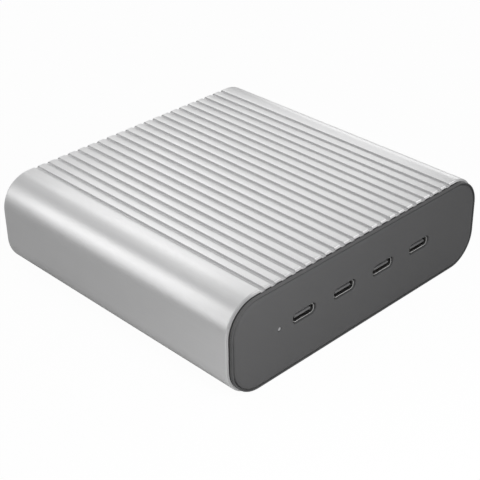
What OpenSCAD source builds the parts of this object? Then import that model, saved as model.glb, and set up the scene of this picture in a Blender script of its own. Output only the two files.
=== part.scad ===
/* [Sleeve] */
// Outside width of the metal sleeve, left to right, in millimetres
body_w = 110; // [104:1:130]
// Outside height of the metal sleeve
body_h = 32; // [31:0.5:36]
// Length of the metal sleeve, front to back
sleeve_l = 103.4; // [102:0.2:120]
// Outside radius of the four long corners
corner_r = 10.9; // [9:0.1:12]
// Thickness of the sleeve wall
wall = 2.2; // [2:0.1:2.4]
// Small bevel round both rims of the sleeve
rim_bevel = 0.45; // [0.2:0.05:0.6]

/* [Grooves] */
// Number of lengthwise grooves in the top
groove_count = 21; // [5:1:21]
// Distance from one groove to the next
groove_pitch = 4.1; // [3:0.1:4.2]
// Width of one groove
groove_w = 1.6; // [1:0.1:2]
// Depth of one groove
groove_d = 0.9; // [0.4:0.1:1]

/* [End panels] */
// How far each panel stands out of the sleeve
panel_out = 1.7; // [1.4:0.1:2.5]
// How far the panel's edge lies inside the sleeve's outline
panel_inset = 0.7; // [0.6:0.05:1]
// Bevel round the panel's outer face
panel_bevel = 0.4; // [0.3:0.05:0.9]
// Width of the shadow gap between panel and sleeve
shadow_gap = 0.4; // [0.2:0.05:0.5]
// Depth of the shadow gap, measured in from the panel's edge
shadow_depth = 0.5; // [0.3:0.05:0.6]
// Thickness of the panel's face
face_t = 2.4; // [2:0.1:3]
// Wall of the skirt that slides into the sleeve
skirt_wall = 1.8; // [1.4:0.1:2]
// Length of the skirt inside the sleeve
skirt_l = 8; // [6:0.5:8]
// Play round the skirt
skirt_play = 0.15; // [0.1:0.05:0.3]

/* [Ports] */
// Number of charging ports in the row
port_count = 4; // [1:1:4]
// Distance from one port to the next
port_pitch = 17.25; // [14:0.25:17.5]
// Height of the port row above the middle of the body
port_raise = 1.3; // [0:0.1:2]
// Outside width of a port's metal shell
shell_w = 8.94; // [8.8:0.02:9]
// Outside height of a port's metal shell
shell_h = 3.26; // [3.2:0.02:3.3]
// Corner radius of a port's metal shell
shell_r = 1.3; // [1:0.1:1.5]
// Sheet thickness of a port's metal shell
shell_t = 0.3; // [0.2:0.05:0.4]
// Length of a port's metal shell
shell_l = 7.35; // [7:0.05:7.5]
// How far a shell lies behind the panel's face
shell_recess = 0.6; // [0.2:0.1:0.8]
// Play between a shell and its cut-out
port_play = 0.28; // [0.2:0.02:0.4]
// Width of the tongue inside a port
tongue_w = 6.7; // [6.4:0.1:6.8]
// Thickness of the tongue
tongue_t = 0.7; // [0.6:0.05:0.8]
// How far the tongue's tip lies behind the shell's rim
tongue_recess = 1; // [0.5:0.1:2]
// Length of the plastic block at the shell's back
tongue_block = 2.2; // [1.5:0.1:3]
// Play between the plastic block and the shell
tongue_play = 0.05; // [0.05:0.01:0.1]

/* [Status light] */
// Gap between the light's centre and the first port's shell
light_gap = 5.755; // [4:0.005:6.5]
// How far the light's centre lies below the port row
light_drop = 0.3; // [0:0.1:0.5]
// Diameter of the light pipe
light_d = 1.2; // [1:0.1:1.4]
// Diameter of the light pipe's collar
collar_d = 2.4; // [2:0.1:2.4]
// Length of the light pipe's collar
collar_l = 0.6; // [0.4:0.1:0.8]
// Play round the light pipe
light_play = 0.1; // [0.05:0.05:0.2]
// How far the light pipe reaches in behind the panel's face
pipe_stub = 1; // [0.8:0.1:1.4]
// Width of the lamp behind the light pipe
lamp_w = 1.6; // [1.2:0.1:2]
// Depth of the lamp
lamp_d = 0.8; // [0.6:0.1:1]
// Height of the lamp
lamp_h = 1.8; // [1.4:0.1:2]
// Gap between the lamp and the light pipe
lamp_gap = 0.2; // [0.1:0.05:0.4]

/* [Feet] */
// Diameter of a rubber foot
foot_d = 12; // [8:0.5:14]
// How far a foot stands out of the sleeve
foot_stand = 0.6; // [0.4:0.1:1.5]
// Depth of the pocket that holds a foot
foot_pocket = 0.6; // [0.3:0.1:0.8]
// Distance between a foot's pocket and the sleeve's rounded side
foot_side_gap = 2; // [1:0.5:12]
// Distance between a foot's pocket and the sleeve's rim
foot_end_gap = 3.6; // [2:0.1:20]
// Play round a foot
foot_play = 0.1; // [0.05:0.05:0.2]

/* [Mains inlet] */
// Wall of the inlet's moulding, left and right
inlet_side = 1.2; // [0.8:0.1:1.6]
// Wall of the inlet's moulding, above and below
inlet_top = 1.6; // [1:0.1:1.7]
// Wall of the inlet's moulding behind its cavity
inlet_back = 3; // [2:0.5:4]
// Width of the cavity that takes the plug
cavity_w = 24.6; // [24:0.1:25]
// Height of the cavity that takes the plug
cavity_h = 16.6; // [16:0.1:17]
// Depth of the cavity that takes the plug
cavity_l = 16; // [15:0.5:16.5]
// Cut across the cavity's two upper corners
cavity_cut = 4.5; // [3:0.5:5]
// Width of the flange behind the panel
flange_w = 33; // [30:0.5:34]
// Play between the flange and the panel's skirt, above and below
flange_play = 0.35; // [0.2:0.05:0.6]
// Thickness of the flange
flange_t = 1.5; // [1:0.1:2]
// Play between the inlet and its cut-out
inlet_play = 0.15; // [0.1:0.05:0.3]
// Distance between the two outer pins
pin_gap = 14; // [13.5:0.5:14.5]
// Height of the middle pin above the outer ones
pin_raise = 4; // [3:0.5:4.5]
// Thickness of a pin
pin_t = 2; // [1.8:0.1:2.2]
// Height of a pin's blade
pin_h = 4; // [3.8:0.1:4.2]
// How far a pin's tip lies behind the inlet's face
pin_recess = 1.8; // [1:0.1:3]
// Length of the tag behind the inlet
pin_tag = 4.5; // [3:0.5:5]
// Play round a pin in its moulding
pin_play = 0.05; // [0.02:0.01:0.1]

/* [Boards] */
// Thickness of both circuit boards
board_t = 1.6; // [1.2:0.1:2]
// Gap between the main board's edges and the sleeve's inner sides
board_side_gap = 0.55; // [0.3:0.05:2]
// Height of the main board's underside above the sleeve's floor
board_lift = 3.6; // [3.4:0.1:4]
// Play at the main board's front and back edges
board_play = 0.2; // [0.1:0.05:0.3]
// How far each rail reaches under the main board's edge
rail_reach = 2; // [1.5:0.1:2.5]
// Height of each rail
rail_h = 1.2; // [1:0.1:1.4]
// Play between the main board's top and the upper rail
rail_play = 0.2; // [0.1:0.05:0.3]
// Gap round the inlet in the main board
notch_play = 1; // [0.6:0.1:1.5]
// Distance between the light's centre and the port board's edge
port_board_side = 5.9; // [5:0.1:8]
// Distance between the output capacitors and the port board's back edge
port_board_back = 0.85; // [0.5:0.05:2]
// Gap between the port board and the light pipe's collar
port_board_gap = 0.1; // [0.05:0.05:0.4]
// Width of each ledge that carries the port board
ledge_w = 6; // [5:0.5:7]
// Gap between each ledge and the main board below it
ledge_gap = 1.67; // [1:0.01:3]
// Distance between each ledge and the port board's edge
ledge_edge = 0.5; // [0.2:0.1:2]
// Length of each ledge
ledge_l = 9; // [8:0.5:10]
// Thickness of the insulating sheet on the floor
sheet_t = 0.5; // [0.3:0.1:0.8]
// Margin between the sheet and the sleeve's rounded corners
sheet_margin = 1; // [0.5:0.5:3]

/* [Board screws] */
// Diameter of a screw's shank
screw_d = 2; // [1.8:0.1:2.2]
// Diameter of a screw's head
screw_head_d = 3.8; // [3.4:0.1:4]
// Height of a screw's head
screw_head_h = 1.3; // [1:0.1:1.5]
// Play round a screw
screw_play = 0.1; // [0.05:0.05:0.2]
// Ledge left below a screw's tip
screw_floor = 0.5; // [0.3:0.1:1]

/* [Large components] */
// Width of the main transformer
transformer_w = 22; // [20:0.5:22]
// Depth of the main transformer
transformer_d = 26; // [22:0.5:27]
// Height of the main transformer
transformer_h = 19; // [15:0.5:20]
// Width of the power factor choke
pfc_w = 26; // [22:0.5:27]
// Depth of the power factor choke
pfc_d = 20; // [18:0.5:20]
// Height of the power factor choke
pfc_h = 18; // [15:0.5:20]
// Thickness of the top and bottom plates of both cores
core_plate = 3; // [2.5:0.1:3.5]
// Thickness of the side walls of both cores
core_side = 2.5; // [2:0.1:3]
// Play between a winding and its core
coil_play = 0.2; // [0.1:0.05:0.3]
// Corner radius of the line choke's windings
coil_r = 2; // [1:0.1:2.4]
// Diameter of a bulk capacitor
bulk_d = 18; // [16:0.5:18]
// Length of a bulk capacitor
bulk_l = 34; // [28:0.5:36]
// Gap between the two bulk capacitors
bulk_gap = 2; // [0.5:0.1:3]
// Width of the line choke's core
choke_w = 22; // [20:0.5:22]
// Depth of the line choke's core
choke_d = 18; // [17:0.5:19]
// Thickness of the line choke's legs
choke_leg = 5; // [4:0.1:5]
// Outside size of one of the line choke's windings
choke_coil = 9.6; // [9:0.1:10]
// Thickness of the line choke's base
choke_base_t = 1.2; // [1:0.1:1.5]
// How far the line choke's base reaches past its core
choke_base_lip = 2; // [0.5:0.1:2.5]
// Distance of the line choke and the filter capacitor from the main board's back edge
mains_edge = 2.5; // [1:0.1:4]
// Gap between the mains pins and the bridge rectifier
bridge_back = 3.1; // [2:0.1:5]
// Gap between the bridge rectifier and the safety capacitor
bridge_gap = 2.5; // [1:0.1:5]
// Gap between the filter capacitor and the fuse
fuse_gap = 3.5; // [2:0.1:5]
// Width of the mains filter capacitor
xcap_w = 18; // [15:0.5:18]
// Depth of the mains filter capacitor
xcap_d = 8; // [6:0.5:8]
// Height of the mains filter capacitor
xcap_h = 14; // [11:0.5:16]
// Width of the bridge rectifier
bridge_w = 18; // [15:0.5:18]
// Depth of the bridge rectifier
bridge_d = 3.6; // [3:0.1:4]
// Height of the bridge rectifier
bridge_h = 15; // [12:0.5:16]
// Width of the fuse
fuse_w = 8.4; // [7:0.1:9]
// Depth of the fuse
fuse_d = 4.3; // [3.5:0.1:5]
// Height of the fuse
fuse_h = 7.7; // [6:0.1:8]
// Diameter of the safety capacitor's disc
disc_d = 9; // [7:0.5:9]
// Thickness of the safety capacitor's disc
disc_t = 4; // [3:0.5:4]
// Diameter of an output capacitor
can_d = 8; // [6:0.5:8]
// Height of an output capacitor
can_h = 12; // [9:0.5:12.5]
// Side of an output inductor
inductor_w = 8; // [6:0.5:8]
// Height of an output inductor
inductor_h = 4.2; // [3:0.1:5]
// Gap between shell, inductor and capacitor on the port board
part_gap = 1; // [0.5:0.1:1.2]

/* [Switches and heat path] */
// Side of a power switch
switch_w = 8; // [6:0.5:8]
// Thickness of a power switch
switch_t = 0.9; // [0.8:0.1:1.2]
// Distance between the two power switches
switch_pitch = 12; // [10:0.5:14]
// Thickness of the soft pad on the power switches
switch_pad_t = 0.5; // [0.5:0.1:1]
// Distance between the heat bracket and the sleeve's rounded side
bracket_side_gap = 2.1; // [1:0.1:3]
// Depth of the heat bracket
bracket_d = 12; // [10:0.5:12]
// Sheet thickness of the heat bracket
bracket_t = 2; // [1.5:0.1:2.5]
// Thickness of the soft pad between heat bracket and sleeve
bracket_pad_t = 1; // [0.5:0.1:1.5]
// Margin round both soft pads
pad_margin = 1; // [0.5:0.5:2]
// Side of the control chip
chip_w = 10; // [7:0.5:12]
// Thickness of the control chip
chip_t = 1.2; // [0.8:0.1:1.6]
// Width of an output rectifier
rectifier_w = 6; // [5:0.5:7]
// Depth of an output rectifier
rectifier_d = 5; // [4:0.5:6]
// Gap between the header and the chips beside it
chip_gap = 3; // [1:0.5:5]
// Width of the header that joins the two boards
header_w = 30; // [20:1:36]
// Depth of the header that joins the two boards
header_d = 5; // [4:0.5:6]

/* [Hidden] */
$fn = 72;
z0 = foot_stand;
mid_z = z0 + body_h / 2;
floor_z = z0 + wall;
ceiling_z = z0 + body_h - wall;
end_y = sleeve_l / 2;
face_y = end_y + panel_out;
back_of_face_y = face_y - face_t;
skirt_end_y = end_y - skirt_l;
cav_w = body_w - 2 * wall;
cav_h = body_h - 2 * wall;
cav_r = corner_r - wall;
skirt_w = cav_w - 2 * skirt_play;
skirt_h = cav_h - 2 * skirt_play;
skirt_r = cav_r - skirt_play;
port_z = mid_z + port_raise;
port_top_z = port_z - shell_h / 2;
port_board_z = port_top_z - board_t;
port_board_y = back_of_face_y - collar_l - port_board_gap;
shell_end_y = face_y - shell_recess - shell_l;
inductor_y = part_gap + inductor_w / 2 - shell_end_y;
can_y = inductor_y + inductor_w / 2 + part_gap + can_d / 2;
port_board_l = port_board_y + can_y + can_d / 2 + port_board_back;
light_x = (port_count - 1) / 2 * port_pitch + shell_w / 2 + light_gap;
port_board_w = 2 * (light_x + port_board_side);
light_z = port_z - light_drop;
light_end_y = back_of_face_y - pipe_stub;
flat_x = body_w / 2 - corner_r;
foot_x = flat_x - foot_side_gap - foot_play - foot_d / 2;
foot_y = end_y - foot_end_gap - foot_play - foot_d / 2;
board_z = floor_z + board_lift;
top_z = board_z + board_t;
board_rise = cav_r - min(board_lift, cav_r);
board_w = cav_w - 2 * cav_r + 2 * sqrt(cav_r * cav_r - board_rise * board_rise) - 2 * board_side_gap;
board_l = sleeve_l - 2 * skirt_l - 2 * board_play;
rail_x = board_w / 2 - rail_reach;
ledge_h = port_board_z - top_z - ledge_gap;
ledge_x = port_board_w / 2 - ledge_w / 2 - ledge_edge;
screw_y = ledge_l / 2 - back_of_face_y;
inlet_w = cavity_w + 2 * inlet_side;
inlet_h = cavity_h + 2 * inlet_top;
inlet_l = cavity_l + inlet_back;
flange_h = skirt_h - 2 * skirt_wall - 2 * flange_play;
pin_l = inlet_l - pin_recess + pin_tag;
pin_end_y = face_y - pin_recess - pin_l;
bracket_top_z = ceiling_z - bracket_pad_t;
bracket_z = top_z + switch_t + switch_pad_t;
choke_base_w = choke_w + choke_base_lip;
choke_base_d = choke_d + 2 * choke_base_lip;
side_x = (inlet_w / 2 + rail_x) / 2;
choke_y = board_l / 2 - mains_edge - choke_base_d / 2;
choke_z = top_z + choke_base_t + choke_coil / 2;
choke_leg_x = choke_w / 2 - choke_leg / 2;
filter_y = board_l / 2 - mains_edge - xcap_d / 2;
fuse_y = filter_y - xcap_d / 2 - fuse_gap - fuse_d / 2;
bridge_y = pin_end_y - bridge_back - bridge_d / 2;
bulk_step = bulk_d + bulk_gap;
side_gap = (2 * rail_x - pfc_w - bulk_step - bulk_d - transformer_w) / 4;
pfc_x = side_gap + pfc_w / 2 - rail_x;
bulk_x = pfc_x + pfc_w / 2 + side_gap + (bulk_step + bulk_d) / 2;
transformer_x = rail_x - side_gap - transformer_w / 2;
front_y = port_board_l - port_board_y;
left_gap = (fuse_y - fuse_d / 2 - front_y - bracket_d - pfc_d) / 3;
switch_y = front_y + left_gap + bracket_d / 2;
pfc_y = switch_y + bracket_d / 2 + left_gap + pfc_d / 2;
bulk_y = (front_y + bridge_y - bridge_d / 2) / 2;
transformer_y = (front_y + choke_y - choke_base_d / 2) / 2;
transformer_pad_w = 2 * min(transformer_w / 2 - pad_margin, flat_x - pad_margin - transformer_x);
bracket_w = flat_x - bracket_side_gap + pfc_x + pfc_w / 2;
switch_x = pfc_x + pfc_w / 2 - bracket_w / 2;

// A rectangle with round corners, centred
module rounded(w, h, r) {
  square([w - 2 * r, h], center = true);
  square([w, h - 2 * r], center = true);
  for (sx = [-1, 1], sy = [-1, 1])
    translate([sx * (w / 2 - r), sy * (h / 2 - r)])
      circle(r = r);
}

// Runs a flat outline from y0 back to y1, centred on the body's middle height
module run(y0, y1, z = mid_z) {
  translate([0, y1, z])
    rotate([90, 0, 0])
      linear_extrude(height = y1 - y0)
        children();
}

// A slab whose rounded outline steps in by b over the height b
module bevel_slab(w, h, r, b) {
  for (sx = [-1, 1], sy = [-1, 1])
    translate([sx * (w / 2 - r), sy * (h / 2 - r), 0])
      cylinder(h = b, r1 = r, r2 = r - b);
  rotate([90, 0, 90])
    linear_extrude(height = w - 2 * r, center = true)
      polygon([[-h / 2, 0], [h / 2, 0], [h / 2 - b, b], [b - h / 2, b]]);
  rotate([90, 0, 0])
    linear_extrude(height = h - 2 * r, center = true)
      polygon([[-w / 2, 0], [w / 2, 0], [w / 2 - b, b], [b - w / 2, b]]);
}

// Stands a bevelled slab on the plane y, with its small side facing outwards
module rim(y, w, h, r, b) {
  translate([0, y, mid_z])
    rotate([90, 0, 0])
      mirror([0, 0, y < 0 ? 0 : 1])
        bevel_slab(w, h, r, b);
}

// A block with its base on z, centred on x and y
module block(x, y, z, w, d, h) {
  translate([x - w / 2, y - d / 2, z])
    cube([w, d, h]);
}

module rail_profile() {
  low_z = board_z - mid_z;
  high_z = top_z + rail_play - mid_z;
  intersection() {
    rounded(body_w - wall, body_h - wall, corner_r - wall / 2);
    for (s = [-1, 1], z = [low_z - rail_h, high_z])
      translate([s * (rail_x + body_w / 2) - body_w / 2, z])
        square([body_w, rail_h]);
  }
}

module housing_sleeve() {
  groove_x = -(groove_count - 1) * groove_pitch / 2;
  color([0.8, 0.81, 0.82])
    difference() {
      union() {
        difference() {
          union() {
            run(rim_bevel - end_y, end_y - rim_bevel)
              rounded(body_w, body_h, corner_r);
            rim(rim_bevel - end_y, body_w, body_h, corner_r, rim_bevel);
            rim(end_y - rim_bevel, body_w, body_h, corner_r, rim_bevel);
            run(-end_y, end_y)
              rounded(body_w - wall, body_h - wall, corner_r - wall / 2);
          }
          run(-end_y - 1, end_y + 1)
            rounded(cav_w, cav_h, cav_r);
        }
        run(-board_l / 2, board_l / 2)
          rail_profile();
      }
      for (i = [0 : groove_count - 1])
        block(groove_x + i * groove_pitch, 0, z0 + body_h - groove_d, groove_w, sleeve_l + 2, groove_d + 1);
      for (sx = [-1, 1], sy = [-1, 1])
        translate([sx * foot_x, sy * foot_y, z0 - 1])
          cylinder(h = foot_pocket + 1, d = foot_d + 2 * foot_play);
    }
}

// The plastic shell of one end panel, facing the front
module panel_shell() {
  edge_w = body_w - 2 * panel_inset;
  edge_h = body_h - 2 * panel_inset;
  edge_r = corner_r - panel_inset;
  difference() {
    union() {
      rim(panel_bevel - face_y, edge_w, edge_h, edge_r, panel_bevel);
      run(panel_bevel - face_y, -end_y - shadow_gap)
        rounded(edge_w, edge_h, edge_r);
      run(-end_y - shadow_gap, -end_y)
        rounded(edge_w - 2 * shadow_depth, edge_h - 2 * shadow_depth, edge_r - shadow_depth);
      run(-end_y, -skirt_end_y)
        rounded(skirt_w, skirt_h, skirt_r);
      run(-face_y, -skirt_end_y)
        rounded(skirt_w - skirt_wall, skirt_h - skirt_wall, skirt_r - skirt_wall / 2);
    }
    run(-back_of_face_y, 1 - skirt_end_y)
      rounded(skirt_w - 2 * skirt_wall, skirt_h - 2 * skirt_wall, skirt_r - skirt_wall);
  }
}

module front_panel() {
  color([0.33, 0.33, 0.34])
    difference() {
      union() {
        panel_shell();
        for (s = [-1, 1])
          block(s * ledge_x, (ledge_l - 0.5) / 2 - back_of_face_y - 0.25, port_board_z - ledge_h, ledge_w, ledge_l + 0.5, ledge_h);
      }
      for (i = [1 : port_count])
        translate([port_x(i), 0, 0])
          run(-face_y - 1, -back_of_face_y + 0.5, port_z)
            rounded(shell_w + 2 * port_play, shell_h + 2 * port_play, shell_r + port_play);
      translate([-light_x, -face_y - 1, light_z])
        rotate([-90, 0, 0])
          cylinder(h = face_t + 1.5, d = light_d + 2 * light_play);
      for (s = [-1, 1])
        translate([s * ledge_x, screw_y, port_board_z - ledge_h - 1])
          cylinder(h = ledge_h + 2, d = screw_d + 2 * screw_play);
    }
}

module rear_panel() {
  color([0.33, 0.33, 0.34])
    difference() {
      mirror([0, 1, 0])
        panel_shell();
      block(0, face_y, mid_z - inlet_h / 2 - inlet_play, inlet_w + 2 * inlet_play, 2 * face_t + 1, inlet_h + 2 * inlet_play);
    }
}

module foot(sx, sy) {
  color([0.15, 0.15, 0.16])
    translate([sx * foot_x, sy * foot_y, 0])
      cylinder(h = foot_stand + foot_pocket, d = foot_d);
}

function port_x(i) = (i - (port_count + 1) / 2) * port_pitch;

module port_shell(i) {
  color([0.75, 0.75, 0.76])
    translate([port_x(i), 0, 0])
      difference() {
        run(shell_recess - face_y, shell_recess - face_y + shell_l, port_z)
          rounded(shell_w, shell_h, shell_r);
        run(shell_recess - face_y - 1, shell_recess - face_y + shell_l + 1, port_z)
          rounded(shell_w - 2 * shell_t, shell_h - 2 * shell_t, shell_r - shell_t);
      }
}

module port_tongue(i) {
  back_y = shell_recess - face_y + shell_l;
  in = shell_t + tongue_play;
  color([0.2, 0.2, 0.21])
    translate([port_x(i), 0, 0]) {
      run(back_y - tongue_block, back_y, port_z)
        rounded(shell_w - 2 * in, shell_h - 2 * in, shell_r - in);
      run(shell_recess - face_y + tongue_recess, back_y - tongue_block / 2, port_z)
        square([tongue_w, tongue_t], center = true);
    }
}

module light_pipe() {
  color([0.9, 0.9, 0.92])
    translate([-light_x, -face_y, light_z])
      rotate([-90, 0, 0]) {
        cylinder(h = face_y - light_end_y, d = light_d);
        translate([0, 0, face_t])
          cylinder(h = collar_l, d = collar_d);
      }
}

module light_chip() {
  color([0.92, 0.92, 0.85])
    block(-light_x, lamp_gap + lamp_d / 2 - light_end_y, port_top_z, lamp_w, lamp_d, lamp_h);
}

module port_board() {
  color([0.1, 0.25, 0.15])
    difference() {
      block(0, port_board_l / 2 - port_board_y, port_board_z, port_board_w, port_board_l, board_t);
      for (s = [-1, 1])
        translate([s * ledge_x, screw_y, port_board_z - 1])
          cylinder(h = board_t + 2, d = screw_d + 2 * screw_play);
    }
}

module port_board_screws() {
  color([0.7, 0.7, 0.7])
    for (s = [-1, 1])
      translate([s * ledge_x, screw_y, port_top_z]) {
        cylinder(h = screw_head_h, d = screw_head_d);
        translate([0, 0, screw_floor - board_t - ledge_h])
          cylinder(h = board_t + ledge_h - screw_floor + screw_head_h / 2, d = screw_d);
      }
}

module main_board() {
  notch_l = inlet_l - (face_y - board_l / 2) + notch_play;
  color([0.1, 0.25, 0.15])
    difference() {
      block(0, 0, board_z, board_w, board_l, board_t);
      block(0, board_l / 2, board_z - 1, inlet_w + 2 * notch_play, 2 * notch_l, board_t + 2);
    }
}

module floor_sheet() {
  color([0.12, 0.12, 0.12])
    block(0, 0, floor_z, cav_w - 2 * cav_r - 2 * sheet_margin, board_l, sheet_t);
}

// The cavity's outline, with the two upper corners cut off
module cavity_outline() {
  w = cavity_w / 2;
  h = cavity_h / 2;
  c = cavity_cut;
  polygon([[-w, -h], [w, -h], [w, h - c], [w - c, h], [c - w, h], [-w, h - c]]);
}

module inlet_body() {
  color([0.13, 0.13, 0.14])
    difference() {
      union() {
        block(0, face_y - inlet_l / 2, mid_z - inlet_h / 2, inlet_w, inlet_l, inlet_h);
        block(0, back_of_face_y - flange_t / 2, mid_z - flange_h / 2, flange_w, flange_t, flange_h);
      }
      run(face_y - cavity_l, face_y + 1)
        cavity_outline();
      for (i = [-1, 0, 1])
        pin_blade(i, pin_play);
    }
}

// One pin's blade and tag, grown by g across
module pin_blade(i, g) {
  z = mid_z + (i == 0 ? pin_raise / 2 : -pin_raise / 2);
  block(i * pin_gap / 2, pin_end_y + pin_l / 2, z - pin_h / 2 - g, pin_t + 2 * g, pin_l, pin_h + 2 * g);
}

module pin(i) {
  color([0.78, 0.77, 0.72])
    pin_blade(i, 0);
}

module line_choke_base() {
  color([0.1, 0.1, 0.1])
    block(side_x, choke_y, top_z, choke_base_w, choke_base_d, choke_base_t);
}

module line_choke_core() {
  color([0.25, 0.25, 0.27])
    difference() {
      block(side_x, choke_y, choke_z - choke_leg / 2 - coil_play, choke_w, choke_d, choke_leg);
      block(side_x, choke_y, choke_z - choke_leg, choke_w - 2 * choke_leg, choke_d - 2 * choke_leg, 2 * choke_leg);
    }
}

module line_choke_coil(s) {
  in = choke_leg + 2 * coil_play;
  l = choke_d - 2 * choke_leg - 2 * coil_play;
  color([0.72, 0.4, 0.2])
    translate([side_x + s * choke_leg_x, choke_y, choke_z])
      rotate([90, 0, 0])
        linear_extrude(height = l, center = true)
          difference() {
            rounded(choke_coil, choke_coil, coil_r);
            square([in, in], center = true);
          }
}

module filter_capacitor() {
  color([0.85, 0.75, 0.2])
    block(-side_x, filter_y, top_z, xcap_w, xcap_d, xcap_h);
}

module safety_capacitor() {
  color([0.15, 0.35, 0.7])
    translate([(bridge_w + bridge_gap) / 2, bridge_y - disc_t / 2, top_z + disc_d / 2])
      rotate([-90, 0, 0])
        cylinder(h = disc_t, d = disc_d);
}

module fuse() {
  color([0.2, 0.2, 0.2])
    block(-side_x, fuse_y, top_z, fuse_w, fuse_d, fuse_h);
}

module bridge_rectifier() {
  color([0.12, 0.12, 0.12])
    block(-(disc_d + bridge_gap) / 2, bridge_y, top_z, bridge_w, bridge_d, bridge_h);
}

// A ferrite core with a round middle post between two plates and two sides
module pot_core(x, y, w, d, h, post) {
  block(x, y, top_z, w, d, core_plate);
  block(x, y, top_z + h - core_plate, w, d, core_plate);
  for (s = [-1, 1])
    block(x + s * (w - core_side) / 2, y, top_z, core_side, d, h);
  translate([x, y, top_z])
    cylinder(h = h, d = post);
}

// The winding round that post
module ring_coil(x, y, w, d, h, post) {
  outer = min(w - 2 * core_side - 2 * coil_play, d);
  translate([x, y, top_z + core_plate])
    difference() {
      cylinder(h = h - 2 * core_plate - coil_play, d = outer);
      translate([0, 0, -1])
        cylinder(h = h, d = post + 2 * coil_play);
    }
}

module pfc_choke_core() {
  color([0.25, 0.25, 0.27])
    pot_core(pfc_x, pfc_y, pfc_w, pfc_d, pfc_h, pfc_d * 0.45);
}

module pfc_choke_coil() {
  color([0.72, 0.4, 0.2])
    ring_coil(pfc_x, pfc_y, pfc_w, pfc_d, pfc_h, pfc_d * 0.45);
}

module transformer_core() {
  color([0.25, 0.25, 0.27])
    pot_core(transformer_x, transformer_y, transformer_w, transformer_d, transformer_h, transformer_w * 0.4);
}

module transformer_coil() {
  color([0.85, 0.7, 0.2])
    ring_coil(transformer_x, transformer_y, transformer_w, transformer_d, transformer_h, transformer_w * 0.4);
}

module transformer_pad() {
  z = top_z + transformer_h;
  color([0.6, 0.65, 0.72])
    block(transformer_x, transformer_y, z, transformer_pad_w, transformer_d - 2 * pad_margin, ceiling_z - z);
}

// A round can with a crimped neck near its lower end
module can(d, h) {
  r = d / 2;
  rotate_extrude()
    polygon([[0, 0], [r, 0], [r, h * 0.08], [r * 0.9, h * 0.11], [r, h * 0.14], [r, h - r * 0.12], [r * 0.88, h], [0, h]]);
}

module bulk_capacitor(s) {
  color([0.1, 0.1, 0.12])
    translate([bulk_x + s * bulk_step / 2, bulk_y - bulk_l / 2, top_z + bulk_d / 2])
      rotate([-90, 0, 0])
        can(bulk_d, bulk_l);
}

module switch(s) {
  color([0.08, 0.08, 0.08])
    block(switch_x + s * switch_pitch / 2, switch_y, top_z, switch_w, switch_w, switch_t);
}

module switch_pad() {
  color([0.6, 0.65, 0.72])
    block(switch_x, switch_y, top_z + switch_t, bracket_w - 2 * pad_margin, bracket_d - 2 * pad_margin, switch_pad_t);
}

module heat_bracket() {
  color([0.75, 0.76, 0.78]) {
    block(switch_x, switch_y, bracket_z, bracket_w, bracket_d, bracket_t);
    block(switch_x, switch_y, bracket_top_z - bracket_t, bracket_w, bracket_d, bracket_t);
    block(switch_x, switch_y - (bracket_d - bracket_t) / 2, bracket_z, bracket_w, bracket_t, bracket_top_z - bracket_z);
  }
}

module bracket_pad() {
  color([0.6, 0.65, 0.72])
    block(switch_x, switch_y, bracket_top_z, bracket_w - 2 * pad_margin, bracket_d - 2 * pad_margin, bracket_pad_t);
}

module rectifier(s) {
  color([0.08, 0.08, 0.08])
    block(header_w / 2 + chip_gap + (1.5 + s) * rectifier_w, can_y, top_z, rectifier_w, rectifier_d, switch_t);
}

module control_chip() {
  color([0.08, 0.08, 0.08])
    block(-(header_w + chip_w) / 2 - chip_gap, can_y, top_z, chip_w, chip_w, chip_t);
}

module link_header() {
  color([0.12, 0.12, 0.12])
    block(0, can_y, top_z, header_w, header_d, port_board_z - top_z);
}

module output_inductor(i) {
  color([0.3, 0.3, 0.31])
    block(port_x(i), inductor_y, port_top_z, inductor_w, inductor_w, inductor_h);
}

module output_can(i) {
  color([0.8, 0.8, 0.82])
    translate([port_x(i), can_y, port_top_z])
      can(can_d, can_h);
}

housing_sleeve();
front_panel();
rear_panel();
foot(-1, -1);  // foot_front_left
foot(1, -1);  // foot_front_right
foot(-1, 1);  // foot_rear_left
foot(1, 1);  // foot_rear_right
port_shell(1);  // port_shell_1
port_shell(2);  // port_shell_2
port_shell(3);  // port_shell_3
port_shell(4);  // port_shell_4
port_tongue(1);  // port_tongue_1
port_tongue(2);  // port_tongue_2
port_tongue(3);  // port_tongue_3
port_tongue(4);  // port_tongue_4
light_pipe();
light_chip();
port_board();
port_board_screws();
main_board();
floor_sheet();
inlet_body();
pin(-1);  // pin_line
pin(1);  // pin_neutral
pin(0);  // pin_earth
line_choke_base();
line_choke_core();
line_choke_coil(-1);  // line_choke_coil_left
line_choke_coil(1);  // line_choke_coil_right
filter_capacitor();
safety_capacitor();
fuse();
bridge_rectifier();
pfc_choke_core();
pfc_choke_coil();
bulk_capacitor(-1);  // bulk_capacitor_left
bulk_capacitor(1);  // bulk_capacitor_right
transformer_core();
transformer_coil();
transformer_pad();
switch(-1);  // switch_left
switch(1);  // switch_right
switch_pad();
heat_bracket();
bracket_pad();
rectifier(-1);  // rectifier_left
rectifier(1);  // rectifier_right
control_chip();
link_header();
output_inductor(1);  // output_inductor_1
output_inductor(2);  // output_inductor_2
output_inductor(3);  // output_inductor_3
output_inductor(4);  // output_inductor_4
output_can(1);  // output_can_1
output_can(2);  // output_can_2
output_can(3);  // output_can_3
output_can(4);  // output_can_4
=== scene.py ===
import math

import bmesh
import bpy
from mathutils import Matrix, Vector
from mathutils.geometry import delaunay_2d_cdt


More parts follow.
